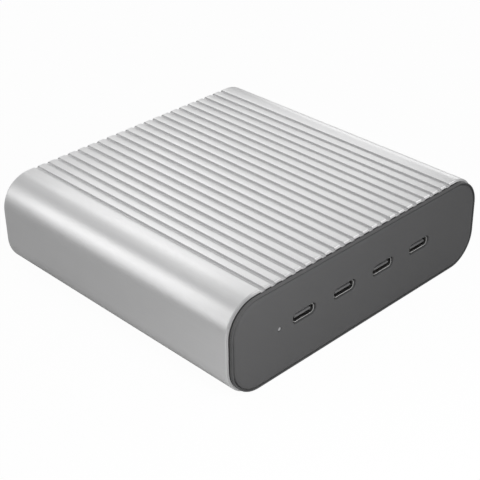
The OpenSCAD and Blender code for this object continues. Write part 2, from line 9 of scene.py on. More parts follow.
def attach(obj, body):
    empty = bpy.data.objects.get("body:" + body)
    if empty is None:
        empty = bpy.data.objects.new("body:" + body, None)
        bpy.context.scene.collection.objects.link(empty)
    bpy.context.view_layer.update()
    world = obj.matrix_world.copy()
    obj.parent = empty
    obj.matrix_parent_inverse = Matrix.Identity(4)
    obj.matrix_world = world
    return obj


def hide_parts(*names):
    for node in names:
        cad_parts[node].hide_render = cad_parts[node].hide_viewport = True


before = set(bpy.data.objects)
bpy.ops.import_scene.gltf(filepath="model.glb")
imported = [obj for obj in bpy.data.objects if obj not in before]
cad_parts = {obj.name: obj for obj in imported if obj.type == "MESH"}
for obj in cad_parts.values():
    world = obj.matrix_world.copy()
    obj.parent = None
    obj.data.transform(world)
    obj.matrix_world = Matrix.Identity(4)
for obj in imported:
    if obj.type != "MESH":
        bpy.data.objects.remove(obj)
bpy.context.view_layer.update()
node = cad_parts
MM = 0.001

# The camera looks down on the charger's front left corner through a fairly
# long lens. Its place and turn come from the photograph's outline and grooves.
CAMERA_LENS, CAMERA_FILM = 91.53, 36
CAMERA_AT = (-0.23667543, -0.24661108, 0.21485631)
NEAREST, FARTHEST = 0.01, 20
camera_data = bpy.data.cameras.new("camera")
camera_data.sensor_width = CAMERA_FILM
camera_data.lens = CAMERA_LENS
camera_data.clip_start = NEAREST
camera_data.clip_end = FARTHEST
camera = bpy.data.objects.new("camera", camera_data)
bpy.context.collection.objects.link(camera)
right = Vector((0.71441061, -0.69956363, -0.01510670))
up = Vector((0.37077584, 0.36015909, 0.85604364))
turn = Matrix((right, up, right.cross(up))).transposed().to_4x4()
camera.matrix_world = Matrix.Translation(CAMERA_AT) @ turn
bpy.context.scene.camera = camera
bpy.context.scene.view_settings.view_transform = "Standard"

# The floor is a pale sheet that runs out into white. Soft lamps stand
# behind the charger and to its left, and two small ones in front of it.
WHITE, ROOM_TONE = (1, 1, 1), (0.51, 0.51, 0.512)
SHEET_TONE, SHEET_IN_METAL = (0.62, 0.62, 0.62), (0.43, 0.43, 0.43)
GLOW_SEEN, GLOW_IN_METAL = 0.97, 0.02
FLOOR_HALF = 1.5
MIDDLE = (0, 0, 0.016)


class Term:
    """One shader value. Arithmetic on it adds Math nodes to its finish."""

    def __init__(self, finish, socket):
        self.finish = finish
        self.socket = socket

    def maths(self, operation, first, second):
        return self.finish.add("ShaderNodeMath", {"operation": operation}, {0: first, 1: second})

    def __add__(self, other):
        return self.maths("ADD", self, other)

    def __sub__(self, other):
        return self.maths("SUBTRACT", self, other)

    def __rsub__(self, other):
        return self.maths("SUBTRACT", other, self)

    def __mul__(self, other):
        return self.maths("MULTIPLY", self, other)

    __radd__ = __add__
    __rmul__ = __mul__


class Finish:
    """A material, or the world, built node by node."""

    def __init__(self, name, owner=None):
        self.owner = owner or bpy.data.materials.new(name)
        self.owner.use_nodes = True
        self.tree = self.owner.node_tree
        self.tree.nodes.clear()

    def add(self, kind, settings=None, sockets=None, output=0):
        made = self.tree.nodes.new(kind)
        for key, value in (settings or {}).items():
            setattr(made, key, value)
        for key, value in (sockets or {}).items():
            if isinstance(value, Term):
                self.tree.links.new(value.socket, made.inputs[key])
            else:
                made.inputs[key].default_value = value
        return Term(self, made.outputs[output]) if made.outputs else None

    def end(self, shader, kind="ShaderNodeOutputMaterial"):
        self.add(kind, {}, {0: shader})


def ray(finish, kind):
    """1 for light rays of one kind, 0 for the others."""
    return finish.add("ShaderNodeLightPath", output=f"Is {kind} Ray")


def tinted(finish, factor, dark, light):
    """A colour between two, by a factor."""
    tones = [t if isinstance(t, Term) else (*t, 1) for t in (dark, light)]
    return finish.add("ShaderNodeMix", {"data_type": "RGBA"}, {0: factor, 6: tones[0], 7: tones[1]}, 2)


world = bpy.data.worlds.new("studio")
bpy.context.scene.world = world
studio = Finish("studio", world)
room = tinted(studio, ray(studio, "Camera"), ROOM_TONE, WHITE)
studio.end(studio.add("ShaderNodeBackground", {}, {0: room, 1: 1.0}), "ShaderNodeOutputWorld")

paper = Finish("floor_paper")
seen = ray(paper, "Camera")
shone = ray(paper, "Glossy") + ray(paper, "Transmission")
matt = paper.add("ShaderNodeBsdfDiffuse", {}, {0: tinted(paper, shone, SHEET_TONE, SHEET_IN_METAL)})
glow = paper.add("ShaderNodeEmission", {}, {0: (*WHITE, 1), 1: 1.0})
white_share = seen * GLOW_SEEN + shone * GLOW_IN_METAL
paper.end(paper.add("ShaderNodeMixShader", {}, {0: white_share, 1: matt, 2: glow}))

floor_corners = [(x * FLOOR_HALF, y * FLOOR_HALF, 0) for x, y in ((-1, -1), (1, -1), (1, 1), (-1, 1))]
floor_mesh = bpy.data.meshes.new("floor")
floor_mesh.from_pydata(floor_corners, [], [(0, 1, 2, 3)])
floor = bpy.data.objects.new("floor", floor_mesh)
bpy.context.collection.objects.link(floor)
floor_mesh.materials.append(paper.owner)


def softbox(name, stand, size, power, aim=MIDDLE):
    """A flat lamp that the camera doesn't see, in metres and watts."""
    lamp = bpy.data.lights.new(name, "AREA")
    lamp.shape = "RECTANGLE"
    lamp.size, lamp.size_y = size
    lamp.energy = power
    holder = bpy.data.objects.new(name, lamp)
    bpy.context.collection.objects.link(holder)
    holder.location = stand
    holder.visible_camera = False
    holder.rotation_mode = "QUATERNION"
    holder.rotation_quaternion = (Vector(aim) - Vector(stand)).to_track_quat("-Z", "Y")
    return holder


softbox("lamp_back_right", (0.498, 0.498, 0.491), (0.4, 0.25), 0.22)
softbox("lamp_back_low", (0.56, 0.27, 0.11), (0.3, 0.16), 0.16)
softbox("lamp_back_high", (0.26, 0.56, 0.62), (0.3, 0.25), 0.23)
softbox("lamp_back_top", (-0.044, 0.498, 0.704), (0.3, 0.2), 0.08)
softbox("lamp_back_left", (-0.54, 0.535, 0.38), (0.3, 0.4), 0.39)
softbox("lamp_left", (-0.68, 0.36, 0.13), (0.35, 0.2), 0.13)
near_lamp = softbox("lamp_front_left", (-0.085, -0.175, 0.14), (0.10, 0.08), 0.35, (-0.03, -0.05, 0.016))
near_lamp.visible_glossy = False
softbox("lamp_front_right", (0.36, -0.30, 0.36), (0.16, 0.12), 0.14)

# The sleeve is one length of extruded aluminium tube with cut ends, ribbed
# along its top. It is blasted with fine beads and clear anodised, which
# leaves a silky grain and faint lines along the way it was drawn.
SLEEVE_W, SLEEVE_H, SLEEVE_L = 110.0, 32.0, 103.4
SLEEVE_LOW = 0.6
SLEEVE_R, SLEEVE_WALL, RIM_BEVEL = 10.9, 2.2, 0.62
BEVEL_END_R, BEVEL_SIDE_R, MID_RING_Y = 0.12, 0.3, 30
GROOVES, GROOVE_PITCH, GROOVE_W, GROOVE_D = 21, 4.1, 1.6, 0.9
GROOVE_EDGE_R, GROOVE_FLOOR_R = 0.14, 0.25
END_Y = SLEEVE_L / 2
TOP_Z = SLEEVE_LOW + SLEEVE_H
MID_Z = SLEEVE_LOW + SLEEVE_H / 2
MERGED_WITHIN, SLIVER_UNDER = 2e-6, 1e-6
SHARP_FROM = 35


def rounded_path(corners, steps=4):
    """Rounds the corners of a path given as (a, b, radius)."""
    path = []
    for i, (a, b, radius) in enumerate(corners):
        here = Vector((a, b))
        if radius == 0:
            path.append(here)
            continue
        before = (Vector(corners[i - 1][:2]) - here).normalized()
        after = (Vector(corners[(i + 1) % len(corners)][:2]) - here).normalized()
        reach = radius / math.tan(before.angle(after) / 2)
        start, stop = here + before * reach, here + after * reach
        middle = here + (before + after).normalized() * (radius / math.sin(before.angle(after) / 2))
        arms = start - middle, stop - middle
        spread = arms[0].angle(arms[1])
        for k in range(steps + 1):
            t = k / steps
            one, two = math.sin((1 - t) * spread), math.sin(t * spread)
            path.append(middle + (arms[0] * one + arms[1] * two) / math.sin(spread))
    return [tuple(p) for p in path]


def rounded_outline(width, height, radius, steps):
    """Points of a rounded rectangle with their outward directions."""
    out = []
    for n, (sx, sz) in enumerate(((1, 1), (1, -1), (-1, -1), (-1, 1))):
        middle_x, middle_z = sx * (width / 2 - radius), sz * (height / 2 - radius)
        for k in range(steps + 1):
            turn = math.pi / 2 * (1 - k / steps) - n * math.pi / 2
            nx, nz = math.cos(turn), math.sin(turn)
            out.append((middle_x + radius * nx, middle_z + radius * nz, nx, nz))
    return out


def ring(outline, y, inset, x=0.0, z=MID_Z):
    """An outline drawn at one depth, pulled in by an inset."""
    return [(x + a - na * inset, y, z + b - nb * inset) for a, b, na, nb in outline]


def skinned(shape, rings, closed=False, loop=True):
    """Joins rings of points, in millimetres, into faces. Returns their corners."""
    made = [[shape.verts.new(Vector(p) * MM) for p in points] for points in rings]
    for one, two in zip(made, made[1:] + made[:1] if closed else made[1:]):
        for j in range(len(one) if loop else len(one) - 1):
            k = (j + 1) % len(one)
            shape.faces.new((one[j], one[k], two[k], two[j]))
    return made


def finished(name, shape):
    """Merges doubles, turns faces outwards, smooths all but sharp edges."""
    bmesh.ops.remove_doubles(shape, verts=shape.verts, dist=MERGED_WITHIN)
    bmesh.ops.dissolve_degenerate(shape, edges=shape.edges, dist=SLIVER_UNDER)
    bmesh.ops.recalc_face_normals(shape, faces=shape.faces)
    for face in shape.faces:
        face.smooth = True
        face.material_index = 0
    for edge in shape.edges:
        edge.smooth = len(edge.link_faces) == 2 and edge.calc_face_angle() < math.radians(SHARP_FROM)
    mesh = bpy.data.meshes.new(name)
    shape.to_mesh(mesh)
    shape.free()
    made = bpy.data.objects.new(name, mesh)
    bpy.context.collection.objects.link(made)
    return made


# The wall's section: along the outside, round the rim and back inside
wall_path = rounded_path([
    (-END_Y, SLEEVE_WALL, 0), (-END_Y, GROOVE_D, 0),
    (-END_Y, RIM_BEVEL, BEVEL_END_R), (RIM_BEVEL - END_Y, 0, BEVEL_SIDE_R),
    (-MID_RING_Y, 0, 0), (0, 0, 0), (MID_RING_Y, 0, 0),
    (END_Y - RIM_BEVEL, 0, BEVEL_SIDE_R), (END_Y, RIM_BEVEL, BEVEL_END_R),
    (END_Y, GROOVE_D, 0), (END_Y, SLEEVE_WALL, 0),
])
groove_section = rounded_path([
    (-GROOVE_PITCH / 2, 0, 0), (-GROOVE_W / 2, 0, GROOVE_EDGE_R), (-GROOVE_W / 2, -GROOVE_D, GROOVE_FLOOR_R),
    (GROOVE_W / 2, -GROOVE_D, GROOVE_FLOOR_R), (GROOVE_W / 2, 0, GROOVE_EDGE_R), (GROOVE_PITCH / 2, 0, 0),
])
shape = bmesh.new()
skinned(shape, [
    [(x, y, TOP_Z + min(z, -inset)) for x, z in groove_section] for y, inset in wall_path
], closed=True, loop=False)
ribbed_top = finished("ribbed_top", shape)

# One tree repeats a piece along X: the ribs, the ports and their contacts
row_tree = bpy.data.node_groups.new("row_of_copies", "GeometryNodeTree")
row_tree.interface.new_socket("Geometry", in_out="INPUT", socket_type="NodeSocketGeometry")
row_count = row_tree.interface.new_socket("Count", in_out="INPUT", socket_type="NodeSocketInt")
row_pitch = row_tree.interface.new_socket("Pitch", in_out="INPUT", socket_type="NodeSocketFloat")
row_finish = row_tree.interface.new_socket("Finish", in_out="INPUT", socket_type="NodeSocketMaterial")
row_tree.interface.new_socket("Geometry", in_out="OUTPUT", socket_type="NodeSocketGeometry")


def place(kind, links=None, **settings):
    """Adds one node to the row's tree and feeds its sockets."""
    made = row_tree.nodes.new(kind)
    for key, value in settings.items():
        setattr(made, key, value)
    for key, value in (links or {}).items():
        if isinstance(value, bpy.types.NodeSocket):
            row_tree.links.new(value, made.inputs[key])
        else:
            made.inputs[key].default_value = value
    return made


given = place("NodeGroupInput").outputs
gaps = place("ShaderNodeMath", {0: given["Count"], 1: 1.0}, operation="SUBTRACT").outputs[0]
reach = place("ShaderNodeMath", {0: gaps, 1: given["Pitch"]}, operation="MULTIPLY").outputs[0]
first = place("ShaderNodeMath", {0: reach, 1: -0.5}, operation="MULTIPLY").outputs[0]
start = place("ShaderNodeCombineXYZ", {0: first}).outputs[0]
step = place("ShaderNodeCombineXYZ", {0: given["Pitch"]}).outputs[0]
line = place("GeometryNodeMeshLine", {
    "Count": given["Count"], "Start Location": start, "Offset": step,
}, mode="OFFSET")
copies = place("GeometryNodeInstanceOnPoints", {"Points": line.outputs[0], "Instance": given["Geometry"]})
whole = place("GeometryNodeRealizeInstances", {0: copies.outputs[0]})
joined = place("GeometryNodeMergeByDistance", {0: whole.outputs[0], "Distance": MERGED_WITHIN})
coated = place("GeometryNodeSetMaterial", {0: joined.outputs[0], "Material": given["Finish"]})
place("NodeGroupOutput", {0: coated.outputs[0]})


def in_a_row(made, count, pitch, finish):
    """Repeats a piece along X and keeps the result as a plain mesh."""
    grow = made.modifiers.new("row", "NODES")
    grow.node_group = row_tree
    grow[row_count.identifier] = count
    grow[row_pitch.identifier] = pitch * MM
    grow[row_finish.identifier] = finish
    bpy.context.view_layer.update()
    sight = bpy.context.evaluated_depsgraph_get()
    mesh = bpy.data.meshes.new_from_object(made.evaluated_get(sight))
    made.modifiers.remove(grow)
    old = made.data
    made.data = mesh
    bpy.data.meshes.remove(old)
    return made


def coated_with(made, finish, slot, *nodes):
    """Gives a new piece its finish and hides the CAD nodes it stands for. The slot is not used."""
    made.data.materials.clear()
    made.data.materials.append(finish)
    if nodes:
        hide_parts(*nodes)
    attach(made, "root")


def spot(finish):
    """The place on a piece, in metres."""
    return finish.add("ShaderNodeTexCoord", output="Object")


def along(finish, axis):
    """One coordinate of the place on a piece."""
    return finish.add("ShaderNodeSeparateXYZ", {}, {0: spot(finish)}, axis)


def bumped(finish, height, strength, depth):
    """A bump that follows a height, its depth in millimetres."""
    return finish.add("ShaderNodeBump", {}, {"Strength": strength, "Distance": depth * MM, "Height": height})


def grained(finish, size, strength):
    """A bump of fine grain, size in millimetres, a quarter as deep as wide."""
    grain = finish.add("ShaderNodeTexNoise", {}, {
        "Vector": spot(finish), "Scale": 1 / (size * MM), "Detail": 3.0, "Roughness": 0.6,
    })
    return bumped(finish, grain, strength, size / 4)


def mottled(finish, size, stretch=(1, 1, 1), detail=2.0):
    """Slow variation over a surface, 0 to 1, size in millimetres."""
    drawn = finish.add("ShaderNodeMapping", {}, {"Vector": spot(finish), "Scale": stretch})
    return finish.add("ShaderNodeTexNoise", {}, {"Vector": drawn, "Scale": 1 / (size * MM), "Detail": detail})


def above(finish, value, limit, blur):
    """Runs from 0 to 1 as a value passes a limit."""
    return finish.add("ShaderNodeMapRange", {"interpolation_type": "SMOOTHSTEP"}, {
        0: value, 1: limit - blur, 2: limit + blur,
    })


def surfaced(finish, colour, roughness, bump, metallic=0.0):
    """Ends a material in one surface."""
    finish.end(finish.add("ShaderNodeBsdfPrincipled", {}, {
        "Base Color": colour, "Metallic": metallic, "Roughness": roughness, "Normal": bump,
    }))


# The front cut rim and the grooves are painted darker than the drawn skin: painted shade in the gap behind
# the front panel and in the recesses of the grooves
RIM_PAINTED_SHADE, RIM_SHADE_FROM_Y = (0.685, 0.685, 0.687), 51.3
GROOVE_PAINTED_SHADE, GROOVE_SHADE_END_X = (0.745, 0.745, 0.747), 43.2
GROOVE_SHADE_LOW_Z, GROOVE_SHADE_HIGH_Z = 31.55, 32.25
anodised = Finish("anodised_aluminium")
draw_lines = mottled(anodised, 0.35, (1, 0.012, 1), 3.0)
cloud = mottled(anodised, 24)
# Mask of the front end's cut rim, where the shade of the gap behind the panel is painted into the colour
rim_shade_mask = above(anodised, along(anodised, 1) * -1.0, RIM_SHADE_FROM_Y * MM, 0.08 * MM)
height = along(anodised, 2)
off_middle = anodised.add("ShaderNodeMath", {"operation": "ABSOLUTE"}, {0: along(anodised, 0)})
# Mask of the grooves between the ribs, where the shade of the recesses is painted into the colour
over_floor = above(anodised, height, GROOVE_SHADE_LOW_Z * MM, 0.1 * MM)
over_crown = above(anodised, height, GROOVE_SHADE_HIGH_Z * MM, 0.3 * MM)
past_ribs = above(anodised, off_middle, GROOVE_SHADE_END_X * MM, 0.3 * MM)
groove_shade_mask = over_floor * (1.0 - over_crown) * (1.0 - past_ribs)
skin_and_groove_shade = tinted(anodised, cloud * 0.5 + draw_lines * 0.5, (0.81, 0.81, 0.812), (0.89, 0.89, 0.89))
# Painted shade in the grooves, laid over the skin's own mottled tone
skin_and_groove_shade = tinted(anodised, groove_shade_mask * 0.9, skin_and_groove_shade, GROOVE_PAINTED_SHADE)
# The front cut rim gets its painted shade here, and its roughness rises there too
surfaced(
    anodised, tinted(anodised, rim_shade_mask, skin_and_groove_shade, RIM_PAINTED_SHADE),
    0.30 + cloud * 0.05 + draw_lines * 0.06 + rim_shade_mask * 0.06,
    grained(anodised, 0.3, 0.25), metallic=1.0,
)

in_a_row(ribbed_top, GROOVES, GROOVE_PITCH, anodised.owner)
ribs_end_x = GROOVES * GROOVE_PITCH / 2
outline = rounded_outline(SLEEVE_W, SLEEVE_H, SLEEVE_R, steps=22)
outline = [(ribs_end_x, SLEEVE_H / 2, 0, 1)] + outline + [(-ribs_end_x, SLEEVE_H / 2, 0, 1)]
shape = bmesh.new()
skinned(shape, [ring(outline, y, inset) for y, inset in wall_path], closed=True, loop=False)
shape.from_mesh(ribbed_top.data)
bpy.data.objects.remove(ribbed_top)
coated_with(finished("sleeve", shape), anodised.owner, "sleeve_metal", "housing_sleeve")

# Two dark moulded panels close the sleeve. A thin frame runs round each
# face, then a narrow channel, then the face itself with softly turned
# edges. Behind the frame a skirt slides into the sleeve and is glued.
FACE_Y = 53.4
EDGE_W, EDGE_H, EDGE_R = 108.6, 30.6, 10.2
PORTS, PORT_PITCH, PORT_Z = 4, 17.25, 17.9
CUT_W, CUT_H, CUT_R, CUT_SOFT = 9.5, 3.82, 1.58, 0.28
LIGHT_X, LIGHT_Z, LIGHT_R, LIGHT_PLAY, LIGHT_SOFT = -36.1, 17.6, 0.6, 0.1, 0.1
INLET_W, INLET_H, INLET_PLAY, INLET_CUT_R, INLET_SOFT = 27.0, 19.8, 0.15, 0.3, 0.2
SLAB_T, SKIRT_IN, SKIRT_DEPTH, REAR_TUCK = 2.25, 1.65, 1.7, 0.95
FLAT_ROUND_CUT, BACK_OVERLAP = 0.05, 0.05
# Inset and depth, from the skirt round the frame and the channel to the face
panel_profile = [
    (0.5, SKIRT_DEPTH), (0.5, 1.3), (0, 1.3), (0, 0.42), (0.03, 0.36), (0.09, 0.31), (0.18, 0.28),
    (0.3, 0.28), (0.36, 0.31), (0.39, 0.38), (0.4, 0.82), (0.7, 0.87), (0.75, 0.68), (0.82, 0.52),
    (0.94, 0.39), (1.1, 0.28), (1.32, 0.19), (1.6, 0.12), (2.0, 0.06), (2.5, 0.02), (3.0, 0),
]
satin = Finish("dark_satin_plastic")
cloud = mottled(satin, 14)
speck = mottled(satin, 0.5, detail=4.0)
surfaced(
    satin, tinted(satin, cloud * 0.7 + speck * 0.3, (0.058, 0.058, 0.059), (0.067, 0.067, 0.068)),
    0.44 + cloud * 0.06 + speck * 0.04, grained(satin, 0.22, 0.2),
)


def filled(shape, loops):
    """Fills the upright flat area between an outline and the holes in it."""
    corners = [c for loop in loops for c in loop]
    flat = [Vector((c.co.x, c.co.z)) / MM for c in corners]
    rims, first = [], 0
    for loop in loops:
        rim = list(range(first, first + len(loop)))
        turn = sum(flat[a].cross(flat[b]) for a, b in zip(rim, rim[1:] + rim[:1]))
        rims.append(rim if turn > 0 else rim[::-1])
        first += len(loop)
    cut = delaunay_2d_cdt(flat, [], rims, 1, 1e-7)
    for triangle, inside in zip(cut[2], cut[5]):
        if inside == [0]:
            shape.faces.new([corners[cut[3][k][0]] for k in triangle])


def opening(x, z, width, height, radius, steps, soft):
    """A cut-out with a softened edge, as rings of (outline, depth, inset, x, z)."""
    outline = rounded_outline(width, height, radius, steps)
    turns = [math.pi / 2 * k / 4 for k in range(5)]
    softened = [(soft * (math.sin(t) - 1), soft * (1 - math.cos(t))) for t in turns]
    path = [(-soft - FLAT_ROUND_CUT, 0)] + softened + [(0, SLAB_T)]
    return [(outline, depth, inset, x, z) for inset, depth in path]


def end_panel(name, old, side, openings, tuck=0.0):
    """A panel's new face, pulled in by a tuck, on the back of its CAD solid."""
    shape = bmesh.new()
    outline = rounded_outline(EDGE_W, EDGE_H, EDGE_R, steps=26)
    section = [(SKIRT_IN, SLAB_T), (SKIRT_IN, SKIRT_DEPTH)]
    section += [(inset + tuck, depth) for inset, depth in panel_profile]
    outer = skinned(shape, [ring(outline, side * (FACE_Y - depth), inset) for inset, depth in section])
    inner = [
        skinned(shape, [ring(rim, side * (FACE_Y - depth), inset, x, z) for rim, depth, inset, x, z in cut])
        for cut in openings
    ]
    filled(shape, [outer[-1]] + [rings[0] for rings in inner])
    filled(shape, [outer[0]] + [rings[-1] for rings in inner])
    rear = bmesh.new()
    rear.from_mesh(node[old].data)
    bmesh.ops.remove_doubles(rear, verts=rear.verts, dist=SLIVER_UNDER)
    cut = bmesh.ops.bisect_plane(
        rear, geom=rear.verts[:] + rear.edges[:] + rear.faces[:], dist=1e-7, clear_outer=True,
        plane_co=(0, side * (FACE_Y - SLAB_T + BACK_OVERLAP) * MM, 0), plane_no=(0, side, 0),
    )["geom_cut"]
    edges = [part for part in cut if isinstance(part, bmesh.types.BMEdge)]
    bmesh.ops.triangle_fill(rear, use_beauty=True, use_dissolve=False, edges=edges, normal=(0, side, 0))
    kept = bpy.data.meshes.new("panel_back")
    rear.to_mesh(kept)
    rear.free()
    shape.from_mesh(kept)
    bpy.data.meshes.remove(kept)
    coated_with(finished(name, shape), satin.owner, "panel_plastic", old)


port_x = [(i - (PORTS - 1) / 2) * PORT_PITCH for i in range(PORTS)]
port_cuts = [opening(x, PORT_Z, CUT_W, CUT_H, CUT_R, 10, CUT_SOFT) for x in port_x]
light_hole = 2 * (LIGHT_R + LIGHT_PLAY)
light_cut = opening(LIGHT_X, LIGHT_Z, light_hole, light_hole, light_hole / 2, 6, LIGHT_SOFT)
inlet_cut = opening(0, MID_Z, INLET_W + 2 * INLET_PLAY, INLET_H + 2 * INLET_PLAY, INLET_CUT_R, 3, INLET_SOFT)
end_panel("front_cover", "front_panel", -1, port_cuts + [light_cut])
end_panel("rear_cover", "rear_panel", 1, [inlet_cut], REAR_TUCK)

# The port shells are thin steel, drawn and folded, nickel plated and
# brushed dull. Each mouth is rolled to a soft rim behind the panel's face.
SHELL_W, SHELL_H, SHELL_R, SHELL_T = 8.94, 3.26, 1.3, 0.3
SHELL_FRONT, SHELL_BACK, LIP_OUT_R, LIP_IN_R = -52.8, -45.45, 0.12, 0.17
nickel = Finish("satin_nickel")
cloud = mottled(nickel, 1.2)
brushed = mottled(nickel, 0.12, (1, 0.05, 1), 3.0)
surfaced(
    nickel, tinted(nickel, cloud, (0.58, 0.58, 0.575), (0.66, 0.66, 0.65)),
    0.24 + cloud * 0.08 + brushed * 0.08, grained(nickel, 0.12, 0.1), metallic=1.0,
)
shell_path = rounded_path([
    (SHELL_BACK, 0, 0), (SHELL_FRONT, 0, LIP_OUT_R),
    (SHELL_FRONT, SHELL_T, LIP_IN_R), (SHELL_BACK, SHELL_T, 0),
])
outline = rounded_outline(SHELL_W, SHELL_H, SHELL_R, steps=10)
shape = bmesh.new()
skinned(shape, [ring(outline, y, inset, z=PORT_Z) for y, inset in shell_path], closed=True)
shells = in_a_row(finished("port_mouths", shape), PORTS, PORT_PITCH, nickel.owner)
coated_with(shells, nickel.owner, "port_steel", *[f"port_shell_{i}" for i in range(1, PORTS + 1)])

# The port tongues are moulded with a block that closes each shell at the
# back, and stand in the middle of its mouth. Twelve gilded contacts are
# set in either side of each.
TONGUE_W, TONGUE_T, TONGUE_R, TONGUE_FRONT = 6.7, 0.7, 0.2, -52.5
BLOCK_W, BLOCK_H, BLOCK_R, BLOCK_FRONT = 8.24, 2.56, 0.95, -47.65
CONTACTS, CONTACT_PITCH, CONTACT_W, CONTACT_PROUD = 12, 0.5, 0.25, 0.03
CONTACT_FRONT = TONGUE_FRONT + 1.7


def capped(shape, outline, path, x, z):
    """Skins an outline along a path of (y, inset), closed at both ends."""
    made = skinned(shape, [ring(outline, y, inset, x, z) for y, inset in path])
    shape.faces.new(made[0])
    shape.faces.new(made[-1])


dull = Finish("grey_moulding")
cloud = mottled(dull, 2.5)
surfaced(
    dull, tinted(dull, cloud, (0.085, 0.085, 0.087), (0.11, 0.11, 0.112)),
    0.5 + cloud * 0.1, grained(dull, 0.12, 0.15),
)
shape = bmesh.new()
capped(shape, rounded_outline(TONGUE_W, TONGUE_T, TONGUE_R, steps=4), [
    (TONGUE_FRONT, 0.16), (TONGUE_FRONT + 0.03, 0.07), (TONGUE_FRONT + 0.12, 0), (BLOCK_FRONT + 0.5, 0),
], 0, PORT_Z)
capped(shape, rounded_outline(BLOCK_W, BLOCK_H, BLOCK_R, steps=8), [
    (BLOCK_FRONT, 0.1), (BLOCK_FRONT + 0.1, 0), (SHELL_BACK, 0),
], 0, PORT_Z)
tongues = in_a_row(finished("port_middles", shape), PORTS, PORT_PITCH, dull.owner)
coated_with(tongues, dull.owner, "tongue_plastic", *[f"port_tongue_{i}" for i in range(1, PORTS + 1)])

gilt = Finish("gilded_contact")
worn = mottled(gilt, 0.8)
surfaced(
    gilt, tinted(gilt, worn, (0.66, 0.55, 0.36), (0.74, 0.64, 0.45)),
    0.25 + worn * 0.15, grained(gilt, 0.1, 0.08), metallic=1.0,
)
shape = bmesh.new()
for side in (-1, 1):
    capped(shape, rounded_outline(CONTACT_W, 2 * CONTACT_PROUD, 0.02, steps=1), [
        (CONTACT_FRONT, 0.02), (CONTACT_FRONT + 0.05, 0), (BLOCK_FRONT + 0.05, 0),
    ], 0, PORT_Z + side * TONGUE_T / 2)
contacts = in_a_row(finished("port_contacts", shape), CONTACTS, CONTACT_PITCH, gilt.owner)
in_a_row(contacts, PORTS, PORT_PITCH, gilt.owner)
coated_with(contacts, gilt.owner, "plated_steel")

# The status light is a short frosted acrylic pin, pressed into the panel
# from behind. It brings the light of a lamp on the port board out beside
# the first port.
PIPE_END, COLLAR_R, COLLAR_FRONT, COLLAR_BACK = -50.0, 1.2, -51.0, -50.4
# Depth behind the panel's face and radius, over the domed end of the pin
pipe_dome = [(0.06, 0), (0.07, 0.3), (0.11, 0.48), (0.18, 0.57), (0.28, LIGHT_R)]
frosted = Finish("frosted_acrylic")
cloud = mottled(frosted, 0.6)
surfaced(
    frosted, tinted(frosted, cloud, (0.20, 0.20, 0.205), (0.28, 0.28, 0.285)),
    0.35 + cloud * 0.15, grained(frosted, 0.1, 0.15),
)


def circle(steps):
    """Cosine and sine at equal steps once round."""
    return [(math.cos(2 * math.pi * k / steps), math.sin(2 * math.pi * k / steps)) for k in range(steps)]


pipe_path = [(depth - FACE_Y, radius) for depth, radius in pipe_dome] + [
    (COLLAR_FRONT, LIGHT_R), (COLLAR_FRONT, COLLAR_R), (COLLAR_BACK, COLLAR_R), (COLLAR_BACK, LIGHT_R),
    (PIPE_END, LIGHT_R), (PIPE_END, 0),
]
shape = bmesh.new()
skinned(shape, [[(LIGHT_X + r * c, y, LIGHT_Z + r * s) for c, s in circle(24)] for y, r in pipe_path])
coated_with(finished("light_pin", shape), frosted.owner, "light_lens", "light_pipe")

# The feet are round and of black rubber, moulded with a turned-in edge and
# three fine rings, and stuck into shallow pockets under the sleeve.
FOOT_X, FOOT_Y, FOOT_R, FOOT_T = 36.0, 42.0, 6.0, 1.2
RING_R, RING_PITCH, RING_W, RING_SLOPE, RING_H = 2.1, 1.4, 0.8, 0.2, 0.06
FOOT_EDGE_IN, FOOT_EDGE_UP = 0.55, 0.54
rubber = Finish("black_rubber")
dust = mottled(rubber, 2.2, detail=5.0)
surfaced(
    rubber, tinted(rubber, dust, (0.018, 0.018, 0.018), (0.032, 0.031, 0.030)),
    0.72 + dust * 0.12, grained(rubber, 0.25, 0.35),
)
# Height and radius, from the middle over the rings and up round the edge
foot_path = [(RING_H, 0), (RING_H, RING_R - RING_SLOPE)]
for radius in (RING_R, RING_R + RING_PITCH):
    foot_path += [(0, radius), (0, radius + RING_W)]
    foot_path += [(RING_H, radius + RING_W + RING_SLOPE), (RING_H, radius + RING_PITCH - RING_SLOPE)]
edge_r = FOOT_R - FOOT_EDGE_IN
foot_path += [(0, RING_R + 2 * RING_PITCH), (0, edge_r)]
foot_path += [
    (FOOT_EDGE_UP * (1 - math.cos(t)), edge_r + FOOT_EDGE_IN * math.sin(t)) for t in (0.4, 0.8, 1.2, 1.57)
]
foot_path += [(FOOT_T, FOOT_R), (FOOT_T, 0)]
for across, x in (("left", -FOOT_X), ("right", FOOT_X)):
    for deep, y in (("front", -FOOT_Y), ("rear", FOOT_Y)):
        shape = bmesh.new()
        skinned(shape, [[(x + r * c, y + r * s, z) for c, s in circle(48)] for z, r in foot_path])
        pad = finished(f"pad_{deep}_{across}", shape)
        coated_with(pad, rubber.owner, "foot_rubber", f"foot_{deep}_{across}")

